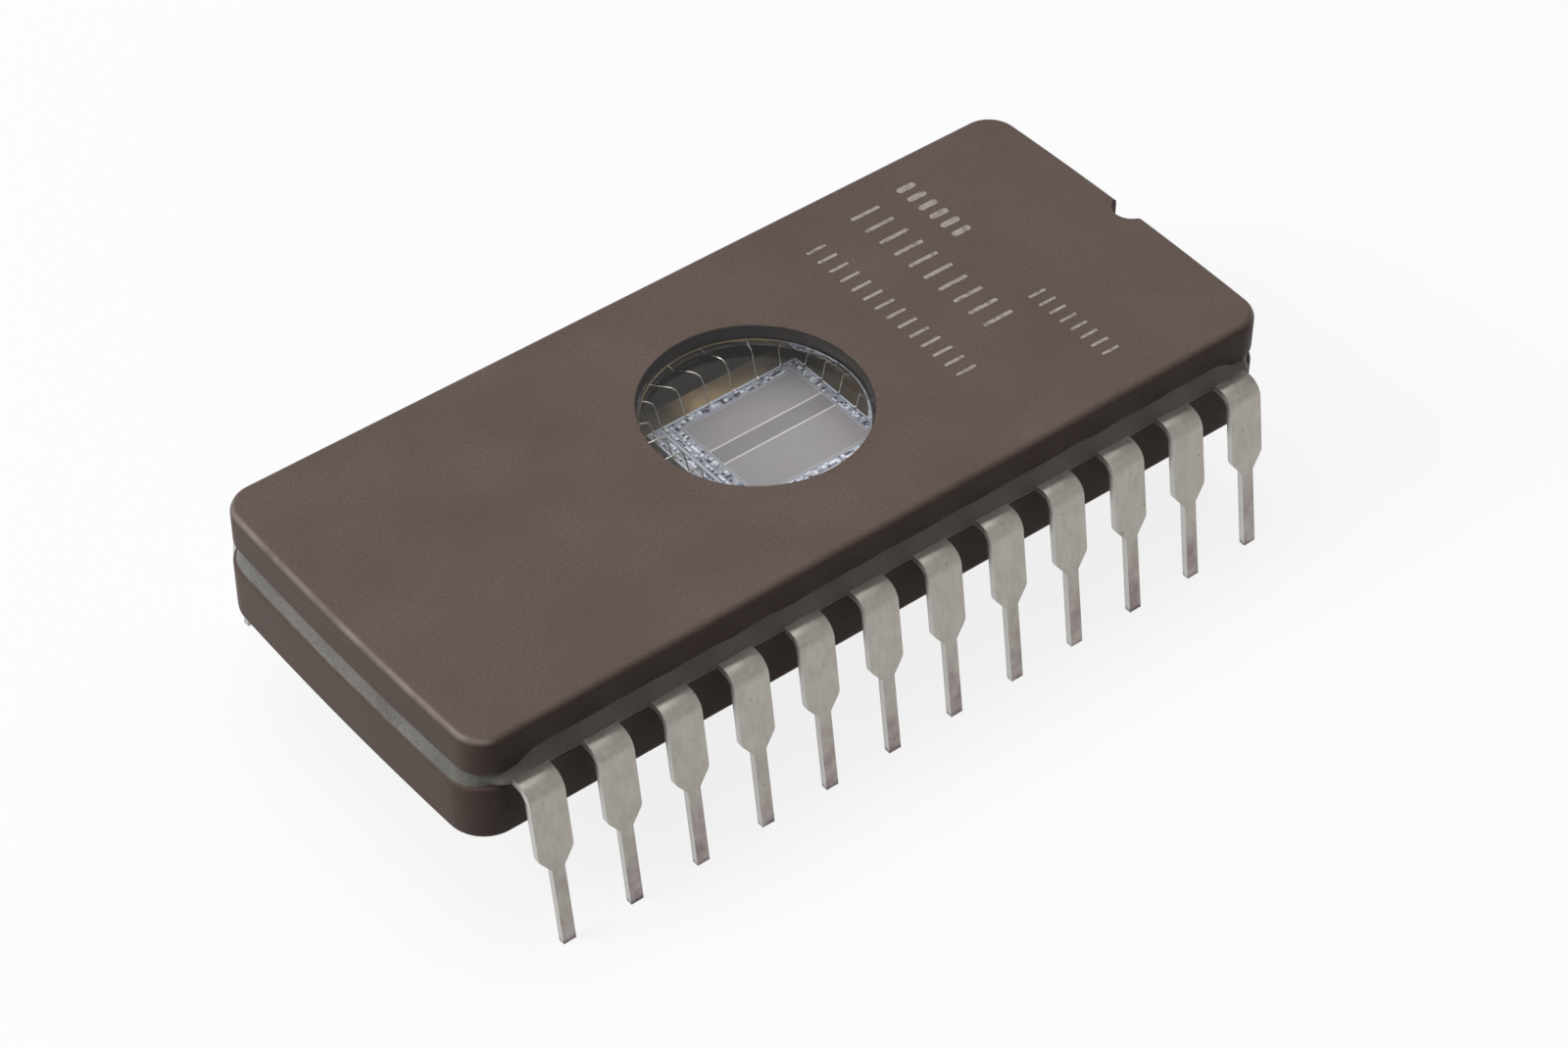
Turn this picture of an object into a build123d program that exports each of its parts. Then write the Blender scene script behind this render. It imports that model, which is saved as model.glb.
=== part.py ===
"""Windowed ceramic dual-in-line eprom package with two rows of leads.

Two pressed alumina halves are sealed with glass round a stamped lead frame. The cap carries a
round window over the silicon die, which fine wires join to the fingers of the lead frame.

Millimetres. X runs along the package with the index notch at +X, Y runs across it, and Z points
up from the plane that the lead tips stand on. The origin is under the middle of the package.
"""

import os
from math import radians, tan

from build123d import *

# Lead frame
lead_count = 24
lead_pitch = 2.54
row_spacing = 15.42  # between the legs' middle planes where they meet the shoulders
lead_thickness = 0.25
lead_width = 1.30
pin_width = 0.48
pin_length = 2.91  # narrow part, from the tip up to the taper
taper_length = 0.55
taper_rounding = 0.35
bend_radius = 0.40  # inside the bend
leg_splay = 8.5  # degrees that each leg leans outwards
shoulder_seat = 1.0  # how far the wide shoulder runs into the glass
shoulder_overlap = 0.5  # of the shoulder and the finger

# Fingers of the lead frame inside the package
finger_width = 0.42
finger_pitch = 1.10  # between finger ends along the cavity's edge
finger_setback = 0.12  # from the cavity's edge to the finger's end
side_fingers = 3  # fingers of each quarter that reach the cavity's long side
end_finger_run = 2.0  # straight run of the first finger at the cavity's short side
end_finger_step = 1.1  # how much further out each next one turns

# Ceramic base
stand_height = 3.55  # from the lead tips up to the base's underside
side_gap = 0.885  # from the base's side to the legs' middle plane at the shoulder
end_margin = 1.90  # from the last lead's middle to the base's end
end_crown = 0.15  # how far the pressed ends swell outwards at their middles
base_height = 2.20
base_corner = 1.28
base_round = 0.30  # rim of the underside
cavity_length = 10.0
cavity_width = 8.0
cavity_depth = 1.10
cavity_corner = 0.50

# Sealing glass
glass_below = 0.12  # under the lead frame
glass_above = 0.08  # over the lead frame
joint_chamfer = 0.25  # rims of the base and the cap beside the joint
glass_wetting = 0.12  # how far it climbs those rims

# Ceramic cap
cap_setback = 0.17  # the cap's ends stand this far inside the base's
cap_height = 1.59
cap_corner = 1.05
cap_round = 0.25  # rim of the top
recess_depth = 0.55
recess_ledge = 1.20  # from the cavity's edge to the recess's edge

# Window
window_diameter = 7.62
window_flat_diameter = 5.6  # flat middle of the window's underside
window_bulge = 0.30  # how far the window hangs below the recess's ceiling

# Index notch
notch_radius = 0.65
notch_depth = 0.62

# Die, its attach layer and the bond wires
attach_thickness = 0.03
attach_clearance = 0.10
die_length = 6.1
die_width = 5.4
die_thickness = 0.50
die_offset = 0.75  # along X from the package's middle
pad_inset = 0.15
side_pad_pitch = 0.95
end_pad_pitch = 0.85
wire_radius = 0.02
foot_length = 0.12
foot_width = 0.07
foot_thickness = 0.05
bond_reach = 0.42  # from the cavity's edge to the bond on the finger
loop_run = 0.30  # from the foot on the die to the loop's top
loop_top_run = 0.35  # along the loop's top
loop_height = 0.17  # of the loop's top above the fingers

# Levels
base_top = stand_height + base_height
lead_bottom = base_top + glass_below
lead_middle = lead_bottom + lead_thickness / 2
lead_top = lead_bottom + lead_thickness
cap_bottom = lead_top + glass_above
cap_top = cap_bottom + cap_height
recess_ceiling = cap_bottom + recess_depth
cavity_floor = base_top - cavity_depth
die_bottom = cavity_floor + attach_thickness
die_top = die_bottom + die_thickness

# Outlines
row_leads = lead_count // 2
base_length = (row_leads - 1) * lead_pitch + 2 * end_margin
base_width = row_spacing - 2 * side_gap
cap_length = base_length - 2 * cap_setback
recess_length = cavity_length + 2 * recess_ledge
recess_width = cavity_width + 2 * recess_ledge
notch_center = cap_length / 2 + end_crown - notch_depth + notch_radius

os.makedirs("parts", exist_ok=True)


def save(part, name):
    part.label = name
    export_step(part, f"parts/{name}.step")


def body_outline(length, corner, inset=0):
    """The outline of a pressed half, or a line at an inset from it.

    It has straight sides, crowned ends and rounded corners.
    """
    end, side = length / 2, base_width / 2
    with BuildSketch() as outline:
        with BuildLine():
            Line((-end, side), (end, side))
            ThreePointArc((end, side), (end + end_crown, 0), (end, -side))
            Line((end, -side), (-end, -side))
            ThreePointArc((-end, -side), (-end - end_crown, 0), (-end, side))
        make_face()
        fillet(outline.vertices(), corner)
        if inset:
            offset(amount=-inset, mode=Mode.REPLACE)
    return outline.sketch


def slab(length, width, corner, bottom, top):
    """A flat plate with rounded corners, centred on the package, between two levels."""
    with BuildPart() as plate:
        with BuildSketch(Plane.XY.offset(bottom)):
            RectangleRounded(length, width, corner)
        extrude(amount=top - bottom)
    return plate.part


def index_notch():
    """The half-round notch that marks the first lead's end, cut through the whole package."""
    with BuildPart() as cutter:
        with BuildSketch(Plane.XY):
            with Locations((notch_center, 0)):
                Circle(notch_radius)
        extrude(amount=2 * cap_top)
    return cutter.part


notch = index_notch()

# The base is pressed, with a rounded lower rim, a chamfer beside the joint and the die's cavity
with BuildPart() as base:
    with BuildSketch(Plane.XY.offset(stand_height)):
        add(body_outline(base_length, base_corner))
    extrude(amount=base_height)
    fillet(base.edges().group_by(Axis.Z)[0], base_round)
    chamfer(base.edges().group_by(Axis.Z)[-1], joint_chamfer)
    with BuildSketch(Plane.XY.offset(base_top)):
        RectangleRounded(cavity_length, cavity_width, cavity_corner)
    extrude(amount=-cavity_depth, mode=Mode.SUBTRACT)
    add(notch, mode=Mode.SUBTRACT)
save(base.part, "base")

# The cap has the window's hole and a recess underneath that clears the wires
with BuildPart() as cap:
    with BuildSketch(Plane.XY.offset(cap_bottom)):
        add(body_outline(cap_length, cap_corner))
    extrude(amount=cap_height)
    fillet(cap.edges().group_by(Axis.Z)[-1], cap_round)
    chamfer(cap.edges().group_by(Axis.Z)[0], joint_chamfer)
    with BuildSketch(Plane.XY.offset(cap_bottom)):
        RectangleRounded(recess_length, recess_width, cavity_corner)
    extrude(amount=recess_depth, mode=Mode.SUBTRACT)
    with BuildSketch(Plane.XY.offset(cap_bottom)):
        Circle(window_diameter / 2)
    extrude(amount=cap_height, mode=Mode.SUBTRACT)
    add(notch, mode=Mode.SUBTRACT)
save(cap.part, "cap")

# The window is ground flat on top and sags a little below the recess's ceiling
with BuildPart() as window_lens:
    with BuildSketch(Plane.XZ):
        with BuildLine():
            rim = (window_diameter / 2, recess_ceiling)
            flat_end = (window_flat_diameter / 2, recess_ceiling - window_bulge)
            Polyline(rim, (window_diameter / 2, cap_top), (0, cap_top), (0, flat_end[1]), flat_end)
            TangentArc(flat_end, rim, tangent=(1, 0))
        make_face()
    revolve(axis=Axis.Z)
save(window_lens.part, "window_lens")


def quarter_place(number):
    """A lead's column from the middle outwards, its end (+1 at the notch) and its row's side.

    Lead 1 is beside the notch on the +Y row, and the numbers run round the package from there.
    """
    position = (number - 1) % row_leads
    side = 1 if number <= row_leads else -1
    along = side * (row_leads - 1 - 2 * position)
    return (abs(along) - 1) // 2, (1 if along > 0 else -1), side


def finger_path(column, end):
    """The finger's line from the shoulder in to the cavity's edge, on the +Y row."""
    pin_x = (column + 0.5) * lead_pitch
    shoulder_y = base_width / 2 - shoulder_seat
    start = (end * pin_x, shoulder_y + shoulder_overlap)
    elbow = (end * pin_x, shoulder_y)
    if column < side_fingers:
        return [start, elbow, (end * (column + 0.5) * finger_pitch, cavity_width / 2)]
    tip_y = (row_leads / 2 - 0.5 - column) * finger_pitch
    turn_x = cavity_length / 2 + end_finger_run + (column - side_fingers) * end_finger_step
    return [start, elbow, (end * turn_x, tip_y), (end * cavity_length / 2, tip_y)]


def make_lead(number):
    """One lead: a finger in the glass, a wide shoulder, a bend, and a leg that tapers to a pin."""
    column, end, side = quarter_place(number)
    pin_x = end * (column + 0.5) * lead_pitch
    shoulder_y = base_width / 2 - shoulder_seat
    splay = tan(radians(leg_splay))
    taper_top = pin_length + taper_length
    with BuildPart() as lead:
        # The strip in side view: shoulder, bend and leg
        with BuildSketch(Plane.YZ.offset(pin_x)):
            with BuildLine():
                corner_y = row_spacing / 2
                FilletPolyline(
                    (shoulder_y, lead_middle),
                    (corner_y, lead_middle),
                    (corner_y + 2 * lead_middle * splay, -lead_middle),
                    radius=bend_radius + lead_thickness / 2,
                )
            trace(line_width=lead_thickness)
            with Locations((corner_y, -lead_middle)):
                Rectangle(row_spacing, 2 * lead_middle, mode=Mode.SUBTRACT)
        extrude(amount=lead_width / 2, both=True)
        # The strip in front view: the wide leg tapers to the pin
        with BuildSketch(Plane((pin_x, 0, 0), x_dir=(1, 0, 0), z_dir=(0, -1, 0))) as outline:
            with BuildLine():
                Polyline(
                    (0, -lead_thickness),
                    (pin_width / 2, -lead_thickness),
                    (pin_width / 2, pin_length),
                    (lead_width / 2, taper_top),
                    (lead_width / 2, lead_top),
                    (0, lead_top),
                )
                mirror(about=Plane.YZ)
            make_face()
            fillet(outline.vertices().group_by(Axis.Y)[-2], taper_rounding)
        extrude(amount=row_spacing, both=True, mode=Mode.INTERSECT)
        # The finger, cut square beside the cavity
        with BuildSketch(Plane.XY.offset(lead_bottom)):
            with BuildLine():
                Polyline(*finger_path(column, end))
            trace(line_width=finger_width)
            Rectangle(
                cavity_length + 2 * finger_setback,
                cavity_width + 2 * finger_setback,
                mode=Mode.SUBTRACT,
            )
        extrude(amount=lead_thickness)
        if side < 0:
            mirror(about=Plane.XZ, mode=Mode.REPLACE)
    return lead.part


leads = [make_lead(number) for number in range(1, lead_count + 1)]
for number, lead in enumerate(leads, start=1):
    save(lead, f"lead_{number:02d}")

# The glass wets both rims, carries the fingers on a thin ledge and closes round the leads
edge_inset = joint_chamfer - glass_wetting
with BuildPart() as seal_glass:
    for length, corner, level in (
        (base_length, base_corner, base_top - glass_wetting),
        (cap_length, cap_corner, cap_bottom + glass_wetting),
    ):
        with BuildSketch(Plane.XY.offset(level)):
            add(body_outline(length, corner, inset=edge_inset))
    loft()
    add(slab(cavity_length, cavity_width, cavity_corner, cavity_floor, cap_top), mode=Mode.SUBTRACT)
    add(slab(recess_length, recess_width, cavity_corner, lead_bottom, cap_top), mode=Mode.SUBTRACT)
    add(notch, mode=Mode.SUBTRACT)
    add(base.part, mode=Mode.SUBTRACT)
    add(cap.part, mode=Mode.SUBTRACT)
    for lead in leads:
        add(lead, mode=Mode.SUBTRACT)
save(seal_glass.part, "seal_glass")

# The attach layer covers the cavity's floor, and the sawn die sits on it
with BuildPart() as die_pad:
    with BuildSketch(Plane.XY.offset(cavity_floor)) as floor:
        Rectangle(cavity_length - 2 * attach_clearance, cavity_width - 2 * attach_clearance)
        chamfer(floor.vertices(), cavity_corner)
    extrude(amount=attach_thickness)
save(die_pad.part, "die_pad")

with BuildPart() as die:
    with BuildSketch(Plane.XY.offset(die_bottom)):
        with Locations((die_offset, 0)):
            Rectangle(die_length, die_width)
    extrude(amount=die_thickness)
save(die.part, "die")


def bond_points(number):
    """Where a wire lands on the die and on its finger."""
    column, end, side = quarter_place(number)
    outer, inner = (Vector(*point) for point in finger_path(column, end)[-2:])
    run = inner - outer
    if column < side_fingers:
        reach = bond_reach * run.length / abs(run.Y)
        pad_x = die_offset + end * (column + 0.5) * side_pad_pitch
        pad_y = die_width / 2 - pad_inset
    else:
        reach = bond_reach
        pad_x = die_offset + end * (die_length / 2 - pad_inset)
        pad_y = (row_leads / 2 - 0.5 - column) * end_pad_pitch
    on_finger = inner - run.normalized() * reach
    return Vector(pad_x, side * pad_y), Vector(on_finger.X, side * on_finger.Y)


def make_wire(number):
    """One bond wire: a looped fine wire, pressed into a small foot where it is welded down."""
    on_die, on_finger = bond_points(number)
    span = (on_finger - on_die).length
    along = (on_finger - on_die).normalized()
    low = die_top + foot_thickness / 2
    high = lead_top + foot_thickness / 2
    loop_top = lead_top + loop_height
    with BuildPart() as wire:
        with BuildLine(Plane(on_die, x_dir=along, z_dir=along.cross(Vector(0, 0, 1)))) as path:
            Polyline(
                (foot_length / 2, low),
                (1.5 * foot_length, low),
                (foot_length + loop_run, loop_top - loop_height),
                (foot_length + 1.5 * loop_run, loop_top),
                (foot_length + 1.5 * loop_run + loop_top_run, loop_top),
                (span - 1.5 * foot_length, high),
                (span - foot_length / 2, high),
            )
        with BuildSketch(path.wire() ^ 0):
            RegularPolygon(wire_radius, side_count=6)
        sweep(transition=Transition.RIGHT)
        for place, level in ((on_die, die_top), (on_finger - along * foot_length, lead_top)):
            with BuildSketch(Plane(place + Vector(0, 0, level), x_dir=along)):
                with Locations((foot_length / 2, 0)):
                    Rectangle(foot_length, foot_width)
            extrude(amount=foot_thickness)
    return wire.part


for number in range(1, lead_count + 1):
    save(make_wire(number), f"bond_wire_{number:02d}")
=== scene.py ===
"""Looks for the windowed ceramic eprom package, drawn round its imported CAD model.

The file follows the package as it is put together: base, gold attach, die, leads, bond wires,
sealing glass, cap, window and ink, and then the studio. Pieces are drawn with a millimetre as the
unit and brought to metres when they are finished.
"""

import math

import bmesh
import bpy
from mathutils import Matrix, Vector, noise


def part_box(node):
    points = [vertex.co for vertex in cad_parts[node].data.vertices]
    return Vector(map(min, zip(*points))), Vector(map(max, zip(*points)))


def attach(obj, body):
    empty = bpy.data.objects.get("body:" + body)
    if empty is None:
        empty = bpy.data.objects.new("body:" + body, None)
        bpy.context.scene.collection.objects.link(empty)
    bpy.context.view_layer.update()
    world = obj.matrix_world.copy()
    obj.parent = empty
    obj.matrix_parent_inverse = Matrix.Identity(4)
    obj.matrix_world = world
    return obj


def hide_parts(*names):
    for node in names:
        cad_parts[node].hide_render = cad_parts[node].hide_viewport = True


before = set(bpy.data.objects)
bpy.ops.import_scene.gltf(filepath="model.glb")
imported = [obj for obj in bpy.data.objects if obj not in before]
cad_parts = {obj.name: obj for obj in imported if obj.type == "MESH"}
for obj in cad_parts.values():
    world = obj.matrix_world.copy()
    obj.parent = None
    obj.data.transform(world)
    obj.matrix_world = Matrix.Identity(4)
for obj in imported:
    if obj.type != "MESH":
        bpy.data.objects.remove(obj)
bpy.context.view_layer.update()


# Base. The lower half of the package is dark alumina powder, pressed to shape and fired: a matt
# brown-grey ceramic with soft rims, a shallow cavity for the die and half of the index notch.
MM = 1000  # millimetres in a metre
CROWN = 0.15  # the pressed ends swell outwards by this much at their middles
CORNER_ZONE = 1.4  # the ends' rounded corners lie within this much of the ends
NOTCH_RADIUS = 0.65
NOTCH_OFFSET = 0.03  # the notch's centre stands this far outside the cap's end


def corners(name):
    """A CAD node's lowest and highest corners in millimetres."""
    return [Vector(corner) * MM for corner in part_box(name)]


def clear_bench():
    """Leaves edit mode and deselects everything, before a new piece is started."""
    if bpy.context.mode != "OBJECT":
        bpy.ops.object.mode_set(mode="OBJECT")
    bpy.ops.object.select_all(action="DESELECT")


def box_blank(name, low, high):
    """A block between two corners, left in edit mode, for a piece to be shaped from."""
    clear_bench()
    bpy.ops.mesh.primitive_cube_add(size=1, location=(low + high) / 2, scale=high - low)
    bpy.ops.object.transform_apply()
    blank = bpy.context.object
    blank.name = blank.data.name = name
    bpy.ops.object.mode_set(mode="EDIT")
    return blank


def pick(kind, test):
    """In edit mode, selects only the faces or edges whose middle and direction pass the test."""
    bpy.ops.mesh.select_mode(type=kind)
    bpy.ops.mesh.select_all(action="DESELECT")
    shape = bmesh.from_edit_mesh(bpy.context.edit_object.data)
    if kind == "FACE":
        for face in shape.faces:
            face.select_set(bool(test(face.calc_center_median(), face.normal)))
    else:
        for edge in shape.edges:
            start, stop = (point.co for point in edge.verts)
            edge.select_set(bool(test((start + stop) / 2, (stop - start).normalized())))
    shape.select_flush_mode()
    bmesh.update_edit_mesh(bpy.context.edit_object.data)


def round_upright_edges(radius, segments=14):
    """Rounds a blank's four upright corners."""
    pick("EDGE", lambda middle, line: abs(line.z) > 0.99)
    bpy.ops.mesh.bevel(offset=radius, segments=segments, affect="EDGES")


def round_rim(level, radius, segments=6):
    """Rounds the rim that lies at one level of a blank."""
    pick("EDGE", lambda middle, line: abs(middle.z - level) < 0.001)
    bpy.ops.mesh.bevel(offset=radius, segments=segments, affect="EDGES")


def crown_ends(half_length, half_width):
    """Swells a blank's flat ends outwards, most at their middles, as the dies leave them."""
    pick(
        "EDGE",
        lambda middle, line: abs(line.y) > 0.9999 and abs(middle.x) > half_length - 0.4,
    )
    bpy.ops.mesh.subdivide(number_cuts=24)
    shape = bmesh.from_edit_mesh(bpy.context.edit_object.data)
    for point in shape.verts:
        if abs(point.co.x) > half_length - CORNER_ZONE:
            point.co.x += math.copysign(CROWN * (1 - (point.co.y / half_width) ** 2), point.co.x)
    bmesh.update_edit_mesh(bpy.context.edit_object.data)


def apply_modifier(piece, kind, **settings):
    """Finishes a piece with one modifier, and applies it."""
    bpy.ops.object.select_all(action="DESELECT")
    bpy.context.view_layer.objects.active = piece
    piece.select_set(True)
    modifier = piece.modifiers.new(kind.lower(), kind)
    for setting, value in settings.items():
        setattr(modifier, setting, value)
    bpy.ops.object.modifier_apply(modifier=modifier.name)


def cut(piece, cutter):
    """Takes the cutter's shape out of the piece."""
    clear_bench()
    apply_modifier(piece, "BOOLEAN", operation="DIFFERENCE", object=cutter, solver="EXACT")
    bpy.data.objects.remove(cutter)


def notch_cutter():
    """The round tool that presses the index notch, centred just outside the cap's end."""
    clear_bench()
    bpy.ops.mesh.primitive_cylinder_add(
        vertices=64,
        radius=NOTCH_RADIUS,
        depth=20,
        location=(corners("cap")[1].x + NOTCH_OFFSET, 0, 5),
    )
    return bpy.context.object


def finish(piece, material, smooth_below=35):
    """Brings a finished piece to metres, gives it its material and sets it on the package."""
    clear_bench()
    piece.data.transform(Matrix.Scale(1 / MM, 4))
    bpy.context.view_layer.objects.active = piece
    piece.select_set(True)
    bpy.ops.object.shade_smooth_by_angle(angle=math.radians(smooth_below))
    apply_modifier(piece, "WEIGHTED_NORMAL", keep_sharp=True)
    piece.data.materials.clear()
    piece.data.materials.append(material)
    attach(piece, "root")


def colour(code):
    """A linear colour from its sRGB hex code."""
    parts = [int(code[at : at + 2], 16) / 255 for at in (1, 3, 5)]
    return [p / 12.92 if p <= 0.04045 else ((p + 0.055) / 1.055) ** 2.4 for p in parts] + [1]


def add(material, kind, sockets=None, stops=None, **settings):
    """Adds one node to a material or the world, its sockets set to values or linked to outputs."""
    node = material.node_tree.nodes.new("ShaderNode" + kind)
    for setting, value in settings.items():
        setattr(node, setting, value)
    for socket, value in (sockets or {}).items():
        if isinstance(value, bpy.types.NodeSocket):
            material.node_tree.links.new(value, node.inputs[socket])
        else:
            node.inputs[socket].default_value = value
    if stops:
        ramp = node.color_ramp
        while len(ramp.elements) < len(stops):
            ramp.elements.new(1)
        for element, (position, value) in zip(ramp.elements, stops):
            element.position = position
            element.color = value if len(value) == 4 else [*value, 1]
    return node


def new_material(name):
    """An empty material, for its nodes to be added to."""
    material = bpy.data.materials.new(name)
    material.use_nodes = True
    material.node_tree.nodes.clear()
    return material


def grey(value):
    """A neutral tone from its linear value."""
    return (value, value, value, 1)


RECESS_HALF = Vector((6.2, 5.2, 0))  # half the length and width of the recess under the cap


def well_shade_mask(material, place):
    """1 in the well under the window, where painted shade darkens every surface, and 0 elsewhere.
    """
    margin = 0.4  # the mask reaches this far past the recess's walls
    shrink = (MM / (RECESS_HALF.x + margin), MM / (RECESS_HALF.y + margin), MM)
    scaled = add(material, "VectorMath", {0: place, 1: shrink}, operation="MULTIPLY")
    size = add(material, "VectorMath", {0: scaled.outputs[0]}, operation="ABSOLUTE")
    parts = add(material, "SeparateXYZ", {0: size.outputs[0]})
    reach = add(
        material, "Math", {0: parts.outputs["X"], 1: parts.outputs["Y"]}, operation="MAXIMUM"
    )
    beside = add(material, "Math", {0: reach.outputs[0], 1: 1.0}, operation="LESS_THAN")
    # From just under the cavity's floor to just under the cap's top
    level = add(material, "Math", {0: parts.outputs["Z"], 1: 6.1, 2: 1.6}, operation="COMPARE")
    return add(
        material, "Math", {0: beside.outputs[0], 1: level.outputs[0]}, operation="MULTIPLY"
    ).outputs[0]


# Fired dark alumina: cloudy over a few millimetres, with grains of 0.06 to 0.15 mm that make the
# skin matt, a painted highlight on the cap's end rims and painted shade in the well. A noise's
# scale counts its marks to the metre, here and below, so that 9000 draws grains about 0.11 mm wide.
dark_alumina = new_material("pressed_dark_alumina")
place = add(dark_alumina, "TexCoord").outputs["Object"]
spot = add(dark_alumina, "SeparateXYZ", {0: place})
lean = add(dark_alumina, "SeparateXYZ", {0: add(dark_alumina, "TexCoord").outputs["Normal"]})
clouds = add(dark_alumina, "TexNoise", {"Vector": place, "Scale": 260, "Detail": 3})
body = add(
    dark_alumina,
    "ValToRGB",
    {"Fac": clouds.outputs["Fac"]},
    [(0.30, colour("#60524B")), (0.70, colour("#6A5B55"))],
)
grains = add(
    dark_alumina, "TexNoise", {"Vector": place, "Scale": 9000, "Detail": 2, "Roughness": 0.7}
)
grain_tone = add(
    dark_alumina,
    "ValToRGB",
    {"Fac": grains.outputs["Fac"]},
    [(0.30, grey(0.86)), (0.52, grey(1.0)), (0.74, grey(1.12))],
)
skin = add(
    dark_alumina,
    "Mix",
    {0: 1.0, 6: body.outputs["Color"], 7: grain_tone.outputs["Color"]},
    data_type="RGBA",
    blend_type="MULTIPLY",
)
rim = add(
    dark_alumina,
    "ValToRGB",
    {"Fac": lean.outputs["Z"]},
    [(0.15, grey(0)), (0.55, grey(1)), (0.80, grey(1)), (0.985, grey(0))],
)
# Painted highlight: the cap's rims at its ends are painted paler, broken up by noise, and made
# glossier
endward = add(dark_alumina, "Math", {0: lean.outputs["X"]}, operation="ABSOLUTE")
end_rim = add(
    dark_alumina, "MapRange", {"Value": endward.outputs[0], 1: 0.15, 2: 0.45, 3: 0.0, 4: 1.0}
)
cap_foot = corners("cap")[0].z / MM
on_cap = add(
    dark_alumina, "Math", {0: spot.outputs["Z"], 1: cap_foot}, operation="GREATER_THAN"
)
cap_end_rim = add(
    dark_alumina, "Math", {0: end_rim.outputs[0], 1: on_cap.outputs[0]}, operation="MULTIPLY"
)
rim_highlight_mask = add(
    dark_alumina,
    "Math",
    {0: rim.outputs["Color"], 1: cap_end_rim.outputs[0]},
    operation="MULTIPLY",
)
rim_highlight_breaks = add(dark_alumina, "TexNoise", {"Vector": place, "Scale": 1500, "Detail": 3})
rim_highlight_spread = add(
    dark_alumina,
    "MapRange",
    {"Value": rim_highlight_breaks.outputs["Fac"], 1: 0.35, 2: 0.70, 3: 0.30, 4: 0.70},
)
painted_rim_highlight = add(
    dark_alumina, "Math", {0: rim_highlight_mask.outputs[0], 1: rim_highlight_spread.outputs[0]}, operation="MULTIPLY"
)
# Painted highlight: the end rims are painted a pale grey-brown
outer = add(
    dark_alumina,
    "Mix",
    {0: painted_rim_highlight.outputs[0], 6: skin.outputs[2], 7: colour("#A69A94")},
    data_type="RGBA",
)
# Painted shade: the ceramic in the well, the hole's wall and the recess, is painted near black
surface = add(
    dark_alumina,
    "Mix",
    {0: well_shade_mask(dark_alumina, place), 6: outer.outputs[2], 7: colour("#211916")},
    data_type="RGBA",
)
relief = add(
    dark_alumina, "Bump", {"Strength": 0.35, "Distance": 0.02 / MM, "Height": grains.outputs["Fac"]}
)
matt = add(
    dark_alumina, "MapRange", {"Value": clouds.outputs["Fac"], 1: 0.3, 2: 0.7, 3: 0.50, 4: 0.60}
)
polish = add(dark_alumina, "Math", {0: rim_highlight_mask.outputs[0], 1: 0.30}, operation="MULTIPLY")
gloss = add(
    dark_alumina, "Math", {0: matt.outputs[0], 1: polish.outputs[0]}, operation="SUBTRACT"
)
shader = add(
    dark_alumina,
    "BsdfPrincipled",
    {
        "Base Color": surface.outputs[2],
        "Roughness": gloss.outputs[0],
        "Specular IOR Level": 0.14,
        "Normal": relief.outputs[0],
    },
)
add(dark_alumina, "OutputMaterial", {"Surface": shader.outputs[0]})

BASE_CORNER = 1.28
BASE_FOOT_ROUND = 0.30
BASE_TOP_ROUND = 0.12
CAVITY_HALF = Vector((5.0, 4.0, 0))  # half the length and width of the die's cavity
WELL_CORNER = 0.5
WELL_ROUND = 0.12  # where the cavity's floor and the recess's ceiling meet their walls
crown = Vector((CROWN, 0, 0))
low, high = corners("base")
base = box_blank("ceramic_base", low + crown, high - crown)
round_upright_edges(BASE_CORNER)
round_rim(low.z, BASE_FOOT_ROUND)
round_rim(high.z, BASE_TOP_ROUND)
crown_ends(high.x - CROWN, high.y)
cavity_floor = corners("die_pad")[0].z
cavity = box_blank(
    "cavity",
    Vector((-CAVITY_HALF.x, -CAVITY_HALF.y, cavity_floor)),
    Vector((CAVITY_HALF.x, CAVITY_HALF.y, high.z + 1)),
)
round_upright_edges(WELL_CORNER, 8)
round_rim(cavity_floor, WELL_ROUND, 3)
cut(base, cavity)
cut(base, notch_cutter())
apply_modifier(base, "BEVEL", width=0.05, segments=2, limit_method="ANGLE", angle_limit=0.7)
finish(base, dark_alumina)
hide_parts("base")


# Gold attach. Gold paste is fired on the cavity's floor, and the die is scrubbed into it: a thin
# dull yellow layer, pitted and stained by the heat.
gold_attach = new_material("fired_gold_paste")
place = add(gold_attach, "TexCoord").outputs["Object"]
stains = add(
    gold_attach, "TexNoise", {"Vector": place, "Scale": 900, "Detail": 5, "Roughness": 0.6}
)
tone = add(
    gold_attach,
    "ValToRGB",
    {"Fac": stains.outputs["Fac"]},
    [(0.30, colour("#A68F6C")), (0.50, colour("#C4A981")), (0.72, colour("#D4B98F"))],
)
pits = add(gold_attach, "TexNoise", {"Vector": place, "Scale": 12000, "Detail": 2})
relief = add(
    gold_attach, "Bump", {"Strength": 0.5, "Distance": 0.02 / MM, "Height": pits.outputs["Fac"]}
)
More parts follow.
